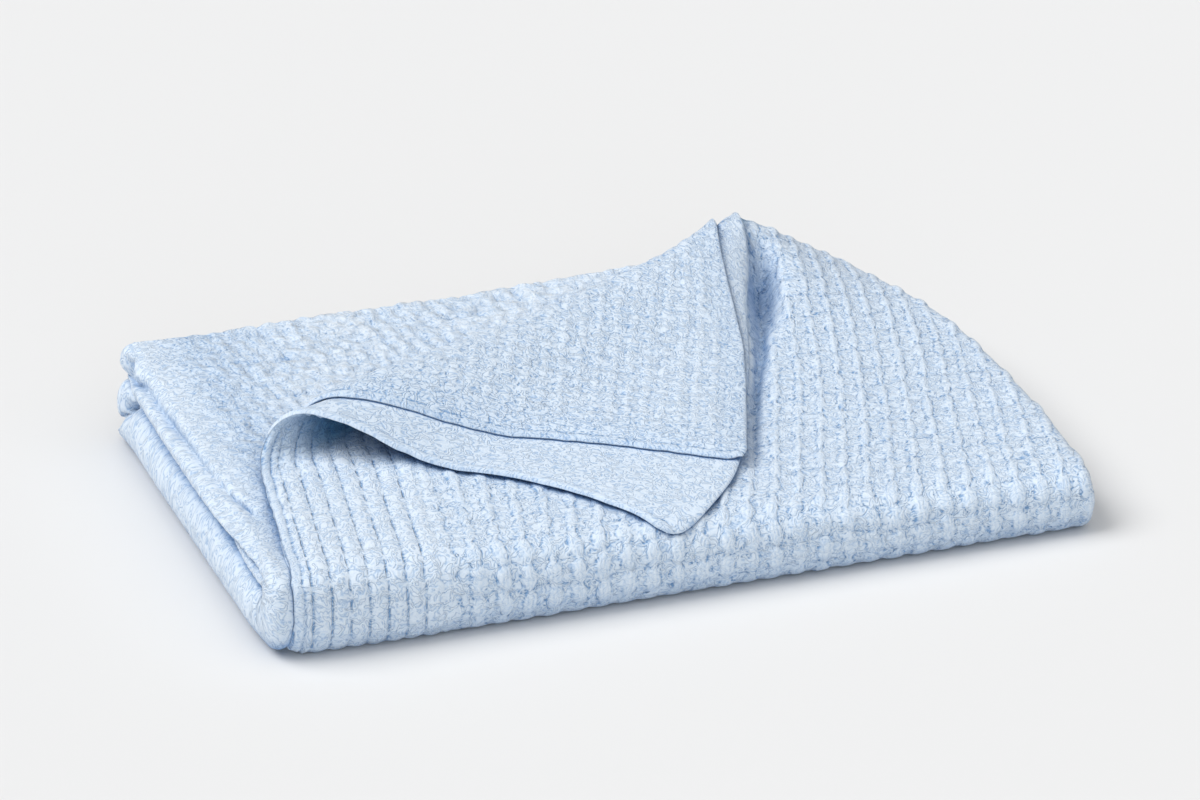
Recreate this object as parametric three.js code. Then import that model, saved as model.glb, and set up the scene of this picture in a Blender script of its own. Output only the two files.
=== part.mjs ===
// A knitted throw folded to a flat stack, with one upper corner turned back.
// Millimetres, +Z up, the rounded front of the stack toward -Y.
import * as THREE from 'three';

// The cloth and its layers
const CLOTH_THICK = 3.0;
const HALF_PITCH = 2.65;
const LAYER_REACH = 11 * HALF_PITCH;
const HALF_STACK = LAYER_REACH + CLOTH_THICK / 2;

// The stack's outline in plan
const RIGHT_TURN_X = 511;
const LEFT_TURN_X = 7;
const THIRD_END_X = 380;
const BACK_Y = 318;
const FRONT_DEPTH = 25;
const FRONT_WRAP = 86;
const FRONT_BOXINESS = 3.4;
const FRONT_SWELL = 4;

// The ribbed border along the free left edge
const RIB_COUNT = 8;
const RIB_PITCH = 11.6;
const RIB_RISE = 1.7;

// The line the corner is turned back along, seen from above
const TURN_AT = { x: 87, y: 148 };
const TURN_ANGLE = THREE.MathUtils.degToRad(26.6);
const TURN_DIR = { x: Math.cos(TURN_ANGLE), y: Math.sin(TURN_ANGLE) };
const TURN_LENGTH = 350;
const FLAP_FALL = 78;

// Inner radius of the turned-back roll along that line
const ROLL_TABLE = [
  { along: -60, radius: 16.5 },
  { along: 40, radius: 14.0 },
  { along: 150, radius: 9.6 },
  { along: 250, radius: 6.8 },
  { along: 344, radius: 5.0 },
];

// The two sheets of the turned-back pair before they are turned
const OUTER_SHEET = {
  edge: [
    { y: 0, x: 11 }, { y: 60, x: 20 }, { y: 110, x: 28 }, { y: 150, x: 33 }, { y: 200, x: 41 },
    { y: 250, x: 49 }, { y: 300, x: 60 }, { y: 350, x: 57 }, { y: 413, x: 39 },
  ],
  back: [
    { share: 0, y: 406 }, { share: 0.05, y: 414 }, { share: 0.14, y: 416 }, { share: 0.4, y: 384 },
    { share: 0.62, y: 352 }, { share: 0.76, y: 342 }, { share: 0.86, y: 324 }, { share: 1, y: 318 },
  ],
  flat: 6,
  curl: 6,
  flap: 5,
};
const UNDER_SHEET = {
  edge: [
    { y: -60, x: 17 }, { y: 0, x: 15 }, { y: 30, x: 14 }, { y: 60, x: 21 }, { y: 110, x: 38 },
    { y: 200, x: 66 }, { y: 250, x: 87 }, { y: 300, x: 109 }, { y: 370, x: 128 }, { y: 426, x: 137 },
  ],
  back: [
    { share: 0, y: 417 }, { share: 0.35, y: 372 }, { share: 0.66, y: 324 }, { share: 0.84, y: 312 }, { share: 1, y: 314 },
  ],
  flat: 4,
  curl: 6,
  flap: 4,
};
const EDGE_DROP = 4.6;

// Height of the stack's top, by depth (rows) and by place along the front
const HEIGHT_X = [0, 130, 260, 360, 410, 440, 475, 519];
const HEIGHT_TABLE = [
  { y: 0, tops: [57, 52, 47, 44, 41.5, 40, 39, 38] },
  { y: 110, tops: [63, 58, 53, 49, 47.5, 46, 45, 44] },
  { y: 220, tops: [68, 65, 62, 60, 58.5, 56, 51.5, 47] },
  { y: 318, tops: [76, 74, 73, 77, 82, 81, 66.5, 43] },
];
const BACK_ROUNDING = 3;

// A soft valley in the top beside the turned corner, running back and to the right
const VALLEY_START = { x: 336, y: 67 };
const VALLEY_SLOPE = 0.385;
const VALLEY_TABLE = [
  { y: 30, sink: 0 },
  { y: 100, sink: 3 },
  { y: 200, sink: 7 },
  { y: 245, sink: 14 },
  { y: 275, sink: 18 },
  { y: 296, sink: 9 },
  { y: 306, sink: 1 },
  { y: 318, sink: 0 },
];

// Two long creases between the rolls of the left side, at these shares of the top's height
const CREASE_TABLE = [
  { y: 0, lower: 0.86, upper: 0.94 },
  { y: 40, lower: 0.83, upper: 0.92 },
  { y: 90, lower: 0.75, upper: 0.9 },
  { y: 150, lower: 0.64, upper: 0.88 },
  { y: 230, lower: 0.57, upper: 0.84 },
  { y: 280, lower: 0.53, upper: 0.79 },
  { y: 300, lower: 0.3, upper: 0.69 },
  { y: 318, lower: 0.15, upper: 0.64 },
];

// How far the right side draws in toward the back corner
const TRIM_TABLE = [
  { y: 0, trim: 2 },
  { y: 60, trim: 0 },
  { y: 140, trim: 3 },
  { y: 233, trim: 15 },
  { y: 318, trim: 42 },
];

function clamp01(value) {
  return Math.min(1, Math.max(0, value));
}

function smooth(from, to, value) {
  const t = clamp01((value - from) / (to - from));
  return t * t * (3 - 2 * t);
}

function mix(a, b, t) {
  return a + (b - a) * t;
}

// Slope of a curve at row i, the mean of the slopes beside it weighted by nearness
function slopeAt(places, values, i) {
  const last = places.length - 1;
  const slope = (k) => (values[k + 1] - values[k]) / (places[k + 1] - places[k]);
  if (i === 0) {
    return slope(0);
  }
  if (i === last) {
    return slope(last - 1);
  }
  const before = places[i] - places[i - 1];
  const after = places[i + 1] - places[i];
  return (after * slope(i - 1) + before * slope(i)) / (before + after);
}

// Smooth curve through the given values, read at one place
function readCurve(places, values, at) {
  let i = 0;
  while (i < places.length - 2 && at > places[i + 1]) {
    i += 1;
  }
  const step = places[i + 1] - places[i];
  const t = clamp01((at - places[i]) / step);
  const t2 = t * t;
  const t3 = t2 * t;
  const fromLow = (2 * t3 - 3 * t2 + 1) * values[i] + (t3 - 2 * t2 + t) * step * slopeAt(places, values, i);
  const fromHigh = (3 * t2 - 2 * t3) * values[i + 1] + (t3 - t2) * step * slopeAt(places, values, i + 1);
  return fromLow + fromHigh;
}

function readTable(table, key, column, at) {
  return readCurve(table.map((row) => row[key]), table.map((row) => row[column]), at);
}

function topHeight(x, y) {
  const depths = HEIGHT_TABLE.map((row) => row.y);
  const tops = HEIGHT_TABLE.map((row) => readCurve(HEIGHT_X, row.tops, x));
  return readCurve(depths, tops, y);
}

// Free left edge of a sheet before its corner is turned
function leftEdge(sheet, reach) {
  return readTable(sheet.edge, 'y', 'x', reach);
}

function sheetX(sheet, share, reach) {
  return mix(leftEdge(sheet, reach), RIGHT_TURN_X, share);
}

// Reach at which a line of the sheet meets the turn
function turnReach(sheet, share) {
  let reach = TURN_AT.y;
  for (let pass = 0; pass < 6; pass += 1) {
    reach = TURN_AT.y + (sheetX(sheet, share, reach) - TURN_AT.x) * Math.tan(TURN_ANGLE);
  }
  return reach;
}

function rollRadius(along) {
  return readTable(ROLL_TABLE, 'along', 'radius', along);
}

// Rows of the top run follow the turn, then spread evenly
function topReach(sheet, share, step) {
  const back = readTable(sheet.back, 'share', 'y', share);
  const span = back - FRONT_DEPTH;
  const turnShare = Math.min(0.8, (turnReach(sheet, share) - FRONT_DEPTH) / span);
  const arc = Math.PI * (rollRadius(share * TURN_LENGTH) + HALF_PITCH) / (TURN_DIR.x - 0.05);
  const arcShare = Math.min(0.5 * (1 - turnShare), arc / span);
  let along = 0;
  if (step <= sheet.flat) {
    along = turnShare * step / sheet.flat;
  } else if (step <= sheet.flat + sheet.curl) {
    along = turnShare + arcShare * (step - sheet.flat) / sheet.curl;
  } else {
    const rest = (step - sheet.flat - sheet.curl) / sheet.flap;
    along = turnShare + arcShare + (1 - turnShare - arcShare) * rest;
  }
  return FRONT_DEPTH + span * along;
}

// Turning the corner back: a roll of changing radius, then a flap that settles
function turnBack(x, reach, rise) {
  const dx = x - TURN_AT.x;
  const dy = reach - TURN_AT.y;
  const along = dx * TURN_DIR.x + dy * TURN_DIR.y;
  const past = dy * TURN_DIR.x - dx * TURN_DIR.y;
  if (past <= 0) {
    return { x, reach, rise, past };
  }
  const radius = rollRadius(along);
  const middle = radius + HALF_PITCH;
  const angle = past / middle;
  let across = 0;
  let lifted = 0;
  if (angle < Math.PI) {
    across = (radius - rise) * Math.sin(angle);
    lifted = radius - (radius - rise) * Math.cos(angle);
  } else {
    across = Math.PI * middle - past;
    const rest = 2 * HALF_PITCH;
    const fall = (1 + Math.cos(Math.PI * clamp01(-across / FLAP_FALL))) / 2;
    lifted = rest + (2 * radius - rest) * fall - rise;
  }
  return {
    x: TURN_AT.x + along * TURN_DIR.x - across * TURN_DIR.y,
    reach: TURN_AT.y + along * TURN_DIR.y + across * TURN_DIR.x,
    rise: lifted,
    past,
  };
}

// The whole stack folded round its front, a boxy half circle
function wrapFront(reach, level) {
  const radius = level + 10 * HALF_PITCH;
  if (reach >= FRONT_DEPTH) {
    return { y: reach, z: HALF_STACK + radius };
  }
  if (reach <= FRONT_DEPTH - FRONT_WRAP) {
    return { y: 2 * FRONT_DEPTH - FRONT_WRAP - reach, z: HALF_STACK - radius };
  }
  const angle = Math.PI * (FRONT_DEPTH - reach) / FRONT_WRAP;
  const side = Math.sin(angle);
  const up = Math.cos(angle);
  const power = FRONT_BOXINESS;
  const norm = (Math.abs(side) ** power + Math.abs(up) ** power) ** (1 / power);
  const depth = FRONT_DEPTH / HALF_STACK;
  return {
    y: FRONT_DEPTH - radius * depth * side / norm,
    z: HALF_STACK + radius * up / norm,
  };
}

// Layers sink where the third run has ended, and loosen toward the left
function settle(x, y, z) {
  const rounding = BACK_ROUNDING * (1 - Math.sqrt(1 - clamp01((y - BACK_Y + 9) / 9.5) ** 2));
  const top = topHeight(x, y) - rounding;
  const slot = 4 * HALF_PITCH;
  const kept = mix(1, 0.14, smooth(THIRD_END_X - 14, THIRD_END_X + 40, x));
  const off = z - HALF_STACK;
  const size = Math.min(Math.abs(off), HALF_STACK);
  const packed = Math.min(size, slot) * kept + Math.max(0, size - slot);
  const full = slot * kept + HALF_STACK - slot;
  const share = 0.5 + 0.5 * Math.sign(off) * packed / full;
  const above = Math.max(0, off - HALF_STACK);
  const leftward = 1 - smooth(-5, 90, x);
  const lift = leftward * mix(0.19, 0.07, clamp01(y / 300));
  const raised = share + 4 * lift * share * (1 - share);
  const sink = valleySink(x, y) * (1 - smooth(0, 14, above));
  return shapeSides(x, y, (top - sink) * raised + above, top);
}

function valleySink(x, y) {
  const middle = VALLEY_START.x + VALLEY_SLOPE * (y - VALLEY_START.y);
  const width = mix(8, 14, smooth(180, 280, y));
  return readTable(VALLEY_TABLE, 'y', 'sink', y) * Math.exp(-(((x - middle) / width) ** 2));
}

// Creases between the left rolls, mouths at their back ends, and the draw-in of the right side
function shapeSides(x, y, z, top) {
  const leftward = (1 - smooth(-14, 46, x)) * smooth(4, 44, y);
  const low = top * readTable(CREASE_TABLE, 'y', 'lower', y);
  const high = top * readTable(CREASE_TABLE, 'y', 'upper', y);
  const lowerBelly = -6 * Math.sin(Math.PI * clamp01(z / low));
  const upperBelly = -2.5 * Math.sin(Math.PI * clamp01((z - low) / (high - low)));
  const creases = 7 * Math.exp(-(((z - low) / 3.2) ** 2)) + 3.5 * Math.exp(-(((z - high) / 3) ** 2));
  const upperMouth = 6 * Math.exp(-(((y - 299) / 9) ** 2) - ((z - 57) / 5.5) ** 2);
  const lowerMouth = 6 * Math.exp(-(((y - 294) / 9) ** 2) - ((z - 29) / 6) ** 2);
  const trim = readTable(TRIM_TABLE, 'y', 'trim', y);
  const drawn = trim * smooth(330, RIGHT_TURN_X + 10, x);
  const inward = leftward * (lowerBelly + upperBelly + creases + upperMouth + lowerMouth);
  return new THREE.Vector3(x + inward - drawn, y, z);
}

// Columns run left to right through the first run, back, and forward again
function makeColumns() {
  const columns = [];
  const firstWidth = RIGHT_TURN_X - OUTER_SHEET.edge[0].x;
  for (let rib = 0; rib < RIB_COUNT; rib += 1) {
    columns.push({ run: 1, share: RIB_PITCH * rib / firstWidth, rib: 0 });
    columns.push({ run: 1, share: RIB_PITCH * (rib + 0.3) / firstWidth, rib: 1 });
    columns.push({ run: 1, share: RIB_PITCH * (rib + 0.7) / firstWidth, rib: 1 });
  }
  const plainSteps = 15;
  const borderShare = RIB_COUNT * RIB_PITCH / firstWidth;
  for (let i = 0; i <= plainSteps; i += 1) {
    columns.push({ run: 1, share: mix(borderShare, 1, i / plainSteps), rib: 0 });
  }
  const turnSteps = 5;
  for (let i = 1; i < turnSteps; i += 1) {
    columns.push({ run: 'right', angle: Math.PI * i / turnSteps, rib: 0 });
  }
  const innerSteps = 3;
  for (let i = 0; i <= innerSteps; i += 1) {
    columns.push({ run: 2, share: i / innerSteps, rib: 0 });
  }
  for (let i = 1; i < turnSteps; i += 1) {
    columns.push({ run: 'left', angle: Math.PI * i / turnSteps, rib: 0 });
  }
  for (let i = 0; i <= innerSteps; i += 1) {
    columns.push({ run: 3, share: i / innerSteps, rib: 0 });
  }
  return columns;
}

// Rows run from the outer sheet's back edge round to the under sheet's
function makeRows() {
  const rows = [];
  const topSteps = OUTER_SHEET.flat + OUTER_SHEET.curl + OUTER_SHEET.flap;
  for (let step = topSteps; step >= 0; step -= 1) {
    const ribbed = step <= OUTER_SHEET.flat + 1;
    rows.push({ sheet: OUTER_SHEET, zone: 'top', step, turn: 0, ribbed });
  }
  addFrontRows(rows, OUTER_SHEET, 0, 8, 2);
  for (let i = 1; i < 4; i += 1) {
    rows.push({ sheet: OUTER_SHEET, zone: 'bottom', step: 1, turn: Math.PI * i / 4, ribbed: false });
  }
  const underRows = [];
  const underSteps = UNDER_SHEET.flat + UNDER_SHEET.curl + UNDER_SHEET.flap;
  for (let step = underSteps; step >= 0; step -= 1) {
    underRows.push({ sheet: UNDER_SHEET, zone: 'top', step, turn: Math.PI, ribbed: false });
  }
  addFrontRows(underRows, UNDER_SHEET, Math.PI, 5, 2);
  return rows.concat(underRows.reverse());
}

function addFrontRows(rows, sheet, turn, wrapSteps, bottomSteps) {
  for (let i = 1; i <= wrapSteps; i += 1) {
    const ribbed = turn === 0 && i < wrapSteps - 1;
    rows.push({ sheet, zone: 'wrap', step: i / wrapSteps, turn, ribbed });
  }
  for (let i = 1; i <= bottomSteps; i += 1) {
    rows.push({ sheet, zone: 'bottom', step: i / bottomSteps, turn, ribbed: false });
  }
}

function rowReach(row, share) {
  if (row.zone === 'top') {
    return topReach(row.sheet, share, row.step);
  }
  if (row.zone === 'wrap') {
    return FRONT_DEPTH - FRONT_WRAP * row.step;
  }
  const bottomLength = BACK_Y - FRONT_DEPTH - 6;
  return FRONT_DEPTH - FRONT_WRAP - bottomLength * row.step;
}

// Height in the pair and the extra reach of its back fold
function pairPlace(row, offset) {
  const radius = HALF_PITCH + offset;
  return { height: radius * Math.cos(row.turn), extra: radius * Math.sin(row.turn) };
}

// Where the under sheet's edge lies back from the outer one's, the outer edge sinks into the step
function edgeDrop(x, reach, past) {
  const edge = leftEdge(OUTER_SHEET, reach);
  const stepBack = leftEdge(UNDER_SHEET, reach) - edge;
  const nearEdge = 1 - smooth(0.3, 1.1, (x - edge) / Math.max(stepBack, 4));
  return EDGE_DROP * smooth(1, 12, stepBack) * nearEdge * (1 - smooth(-45, -8, past));
}

// Round the front the left rolls swell out to the sheets' edges
function frontSwell(x, reach, level) {
  const nearFront = 1 - smooth(25, 70, reach);
  const outward = clamp01((level + 9 * HALF_PITCH) / (6 * HALF_PITCH));
  return FRONT_SWELL * nearFront * (1 - smooth(3, 15, x)) * outward;
}

// One point of the cloth; offset is measured outward from its middle
function clothPoint(column, row, offset) {
  const { height, extra } = pairPlace(row, offset);
  const share = column.run === 1 ? column.share : 1;
  const sheetReach = rowReach(row, share);
  const reach = sheetReach - extra;
  const step = 2 * HALF_PITCH;
  if (column.run === 1) {
    const x = sheetX(row.sheet, share, sheetReach);
    const turned = turnBack(x, reach, height - HALF_PITCH);
    const drop = row.turn < 1.6 ? edgeDrop(x, sheetReach, turned.past) : 0;
    return finish(turned.x, turned.reach, turned.rise + HALF_PITCH - drop);
  }
  let x = 0;
  let level = 0;
  if (column.run === 'right') {
    x = RIGHT_TURN_X + (step + height) * Math.sin(column.angle);
    level = (step + height) * Math.cos(column.angle) - step;
  } else if (column.run === 2) {
    x = mix(RIGHT_TURN_X, LEFT_TURN_X, column.share);
    level = -2 * step - height;
  } else if (column.run === 'left') {
    x = LEFT_TURN_X - (step - height) * Math.sin(column.angle);
    level = (step - height) * Math.cos(column.angle) - 3 * step;
  } else {
    x = mix(LEFT_TURN_X, THIRD_END_X, column.share);
    level = height - 4 * step;
  }
  return finish(x, reach, level + frontSwell(x, sheetReach, level));
}

function finish(x, reach, level) {
  const wrapped = wrapFront(reach, level);
  return settle(x, wrapped.y, wrapped.z);
}

// Two faces of the cloth over one grid, closed along its four edges
function makeCloth() {
  const columns = makeColumns();
  const rows = makeRows();
  const across = columns.length;
  const down = rows.length;
  const points = [];
  for (const side of [1, -1]) {
    for (const row of rows) {
      for (const column of columns) {
        const rib = side > 0 && row.ribbed ? column.rib * RIB_RISE : 0;
        points.push(clothPoint(column, row, side * CLOTH_THICK / 2 + rib));
      }
    }
  }
  const faces = [];
  const outer = (i, j) => j * across + i;
  const inner = (i, j) => (down + j) * across + i;
  const quad = (a, b, c, d) => faces.push(a, b, c, a, c, d);
  for (let j = 0; j < down - 1; j += 1) {
    for (let i = 0; i < across - 1; i += 1) {
      quad(outer(i, j), outer(i, j + 1), outer(i + 1, j + 1), outer(i + 1, j));
      quad(inner(i, j), inner(i + 1, j), inner(i + 1, j + 1), inner(i, j + 1));
    }
  }
  for (let j = 0; j < down - 1; j += 1) {
    quad(outer(0, j), inner(0, j), inner(0, j + 1), outer(0, j + 1));
    quad(outer(across - 1, j), outer(across - 1, j + 1), inner(across - 1, j + 1), inner(across - 1, j));
  }
  for (let i = 0; i < across - 1; i += 1) {
    quad(outer(i, 0), outer(i + 1, 0), inner(i + 1, 0), inner(i, 0));
    quad(outer(i, down - 1), inner(i, down - 1), inner(i + 1, down - 1), outer(i + 1, down - 1));
  }
  return toGeometry(points, faces);
}

// Centred in plan, resting on z = 0
function toGeometry(points, faces) {
  const flat = [];
  for (const point of points) {
    flat.push(point.x, point.y, point.z);
  }
  const geometry = new THREE.BufferGeometry();
  geometry.setAttribute('position', new THREE.Float32BufferAttribute(flat, 3));
  geometry.setIndex(faces);
  geometry.computeBoundingBox();
  const box = geometry.boundingBox;
  geometry.translate(-(box.min.x + box.max.x) / 2, -(box.min.y + box.max.y) / 2, -box.min.z);
  return geometry;
}

const knit = new THREE.MeshStandardMaterial({ color: 0xbcd3ec, roughness: 0.95, metalness: 0 });
const throwBlanket = new THREE.Mesh(makeCloth(), knit);
throwBlanket.name = 'throw_blanket';

const root = new THREE.Group();
root.name = 'folded_throw';
root.add(throwBlanket);

export default root;
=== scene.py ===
import math

import bpy
import numpy as np
from mathutils import Matrix, Vector
from mathutils.geometry import delaunay_2d_cdt


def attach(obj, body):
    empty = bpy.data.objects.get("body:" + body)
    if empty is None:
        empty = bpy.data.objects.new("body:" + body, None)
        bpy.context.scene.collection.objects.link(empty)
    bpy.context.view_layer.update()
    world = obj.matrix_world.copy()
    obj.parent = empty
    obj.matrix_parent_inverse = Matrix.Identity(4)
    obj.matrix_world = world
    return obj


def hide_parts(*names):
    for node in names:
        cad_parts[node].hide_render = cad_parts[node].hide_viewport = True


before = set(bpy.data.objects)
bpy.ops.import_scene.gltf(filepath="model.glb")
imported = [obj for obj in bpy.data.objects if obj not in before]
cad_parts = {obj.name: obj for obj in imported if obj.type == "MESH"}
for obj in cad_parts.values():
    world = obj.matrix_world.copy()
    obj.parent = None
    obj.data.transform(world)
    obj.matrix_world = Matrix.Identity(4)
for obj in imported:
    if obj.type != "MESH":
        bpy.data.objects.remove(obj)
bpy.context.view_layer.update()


# ---------------------------------------------------------------------------
# The throw's folds. One pale blue knitted cotton cloth, 1270 by 1524 mm, is
# folded in half, then in thirds, then in half again round the front, and its
# free back-left corner is turned back over the stack. Sizes are millimetres.

# Half the distance between two layers, the cloth's thickness, half the height of the stack's twelve layers
HALF_PITCH = 2.65
CLOTH_THICK = 3.0
HALF_STACK = 11 * HALF_PITCH + CLOTH_THICK / 2
# Where the cloth turns at the right and at the left, and where its third run ends
RIGHT_TURN_X = 511.0
LEFT_TURN_X = 7.0
THIRD_END_X = 380.0
# The stack's back, where its front begins to round, the cloth that goes round it, how boxy that round is
BACK_Y = 318.0
FRONT_DEPTH = 25.0
FRONT_WRAP = 86.0
BOXY = 2.8
STACK_CENTRE = (256.32, 162.68)
# The line that the corner is turned back along: a place on it and its direction
TURN_AT = (87.0, 148.0)
TURN_ANGLE = math.radians(26.6)
TURN_X, TURN_Y = math.cos(TURN_ANGLE), math.sin(TURN_ANGLE)
# How far behind the roll the flap comes down to rest
FLAP_FALL = 78.0


def cubic(t, step, start, start_slope, end, end_slope):
    """A cubic over one step of a table, t of the way along, with the values and slopes of its two rows."""
    t2, t3 = t * t, t * t * t
    return ((2 * t3 - 3 * t2 + 1) * start + (t3 - 2 * t2 + t) * step * start_slope
            + (3 * t2 - 2 * t3) * end + (t3 - t2) * step * end_slope)


def read_table(at, values, x):
    """Smooth reading of a short table: a cubic through its rows, with the mean slope beside each row."""
    at = np.asarray(at, float)
    values = np.asarray(values, float)
    slope = np.gradient(values, at, axis=0)
    i = np.clip(np.searchsorted(at, x) - 1, 0, len(at) - 2)
    step = at[i + 1] - at[i]
    t = np.clip((x - at[i]) / step, 0, 1)
    return cubic(t, step, values[i], slope[i], values[i + 1], slope[i + 1])


def smooth(low, high, x):
    """An eased step from 0 at low to 1 at high."""
    t = np.clip((x - low) / (high - low), 0, 1)
    return t * t * (3 - 2 * t)


def mix(a, b, t):
    """From a at 0 to b at 1, in a straight line."""
    return a + (b - a) * t


def hump(x, half_width):
    """A soft hump, 1 at 0, that is down to a third at its half width."""
    return np.exp(-((x / half_width) ** 2))


# Free left edge of the outer sheet and of the sheet under it, before the corner is turned: depth, place
OUTER_EDGE = ([0, 60, 110, 150, 200, 250, 300, 350, 413], [11, 20, 28, 33, 41, 49, 60, 57, 39])
UNDER_EDGE = ([-60, 0, 30, 60, 110, 200, 250, 300, 370, 426], [17, 15, 14, 21, 38, 66, 87, 109, 128, 137])
# Their back edges: share of the way to the right fold, depth
OUTER_BACK = ([0, 0.05, 0.14, 0.4, 0.62, 0.76, 0.86, 1], [406, 414, 416, 384, 352, 342, 324, 318])
UNDER_BACK = ([0, 0.35, 0.66, 0.84, 1], [417, 372, 324, 312, 314])
# Inner radius of the turned-back roll along its line
ROLL = ([-60, 40, 150, 250, 344], [16.5, 14.0, 9.6, 6.8, 4.4])
# Height of the stack's top: one row for each depth, one column for each place along the front
HEIGHT_X = [0, 130, 260, 360, 410, 440, 475, 519]
HEIGHT_Y = [0, 110, 220, 318]
HEIGHTS = [[57, 52, 47, 44, 41.5, 40, 39, 38],
           [63, 58, 53, 49, 47.5, 46, 45, 44],
           [68, 65, 62, 60, 58.5, 56, 51.5, 47],
           [76, 74, 73, 77, 82, 81, 66.5, 43]]
# Heights of the two long creases down the stack's left side, as shares of the top's height: depth, share
LOWER_CREASE = ([0, 40, 85, 150, 230, 280, 294, 306, 318],
                [0.86, 0.83, 0.76, 0.64, 0.567, 0.53, 0.4, 0.22, 0.15])
UPPER_CREASE = ([0, 40, 94, 150, 210, 277, 290, 318], [0.94, 0.92, 0.895, 0.88, 0.85, 0.79, 0.71, 0.64])
# How deep and how wide they are, and how far the cloth bellies out below the lower one and between the two
LOWER_DEEP, LOWER_WIDE, UPPER_DEEP, UPPER_WIDE = 9, 2.8, 4, 3.0
LOWER_BELLY, UPPER_BELLY = 6, 2.5
# Where the left folds gape at the back corner: depth, height, half width, half height, how far in
MOUTHS = ((299, 57, 9, 5.5, 8), (294, 29, 9, 6, 8))
# A loose crease where the top runs over the left side: depth; place; height; how far it sinks in
SIDE_CREASE = ([70, 96, 118, 158, 185, 218, 250, 298], [18, 13, 8.5, 5.0, 4.2, 2.5, 0.5, 3])
SIDE_HEIGHT = ([70, 96, 118, 158, 185, 218, 250, 298], [57, 56.5, 56.5, 55.5, 55.5, 55.5, 56, 50])
SIDE_SINK = ([72, 96, 125, 180, 250, 290, 318], [0, 6, 3.5, 3.5, 4.5, 3, 2])
# A soft valley in the stack's top beside the turned corner: depth; place; sink
VALLEY_PATH = ([30, 67, 90, 137, 200, 274, 318], [310, 322, 330.5, 348.5, 378, 414, 434])
VALLEY = ([30, 100, 137, 200, 245, 275, 296, 306, 318], [0, 4.5, 6, 10, 20, 24, 12, 1, 0])
# Where the outer sheet swells up before the turned corner: place, depth; half width; height
SWELL_AT, SWELL_WIDE, SWELL_HIGH = (122.0, 112.0), 19.0, 4.0
# How far the right side draws in toward the back corner
TRIM = ([0, 60, 140, 233, 318], [2, 0, 3, 15, 42])


def top_height(x, y):
    """Height of the outer sheet: the table read along the front, then by depth."""
    rows = np.stack([read_table(HEIGHT_X, row, x) for row in HEIGHTS])
    i = np.clip(np.searchsorted(HEIGHT_Y, y) - 1, 0, 2)
    at = np.asarray(HEIGHT_Y, float)
    slopes = np.gradient(rows, at, axis=0)
    step = at[i + 1] - at[i]
    t = np.clip((y - at[i]) / step, 0, 1)
    start, start_slope, end, end_slope = (np.take_along_axis(table, k[None], 0)[0]
                                          for k in (i, i + 1) for table in (rows, slopes))
    return cubic(t, step, start, start_slope, end, end_slope)


def turn_back(x, reach, rise):
    """Turn the corner back: past the line the sheet climbs a half circle of the roll's radius, then runs
    back over the stack and sinks to rest on it. rise is height over the outer sheet's middle."""
    dx, dy = x - TURN_AT[0], reach - TURN_AT[1]
    along = dx * TURN_X + dy * TURN_Y
    past = dy * TURN_X - dx * TURN_Y
    radius = read_table(*ROLL, along)
    middle = radius + HALF_PITCH
    angle = np.clip(past / middle, 0, np.pi)
    over = np.maximum(0, past - np.pi * middle)
    rest = 2 * HALF_PITCH
    fall = (1 + np.cos(np.pi * np.clip(over / FLAP_FALL, 0, 1))) / 2
    curled = radius - (radius - rise) * np.cos(angle)
    laid = rest + (2 * radius - rest) * fall - rise
    across = np.where(past <= 0, past, (radius - rise) * np.sin(angle) - over)
    lifted = np.where(past <= 0, rise, np.where(over > 0, laid, curled))
    return (TURN_AT[0] + along * TURN_X - across * TURN_Y,
            TURN_AT[1] + along * TURN_Y + across * TURN_X, lifted, past, angle)


def wrap_front(reach, level):
    """Fold the stack in half round its front: a boxy half circle whose radius is the layer's own level."""
    radius = level + 10 * HALF_PITCH
    angle = np.pi * np.clip((FRONT_DEPTH - reach) / FRONT_WRAP, 0, 1)
    side, up = np.sin(angle), np.cos(angle)
    norm = (np.abs(side) ** BOXY + np.abs(up) ** BOXY) ** (1 / BOXY)
    beyond = np.maximum(0, reach - FRONT_DEPTH) + np.maximum(0, FRONT_DEPTH - FRONT_WRAP - reach)
    y = FRONT_DEPTH - radius * FRONT_DEPTH / HALF_STACK * side / norm + beyond
    return y, HALF_STACK + radius * up / norm


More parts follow.
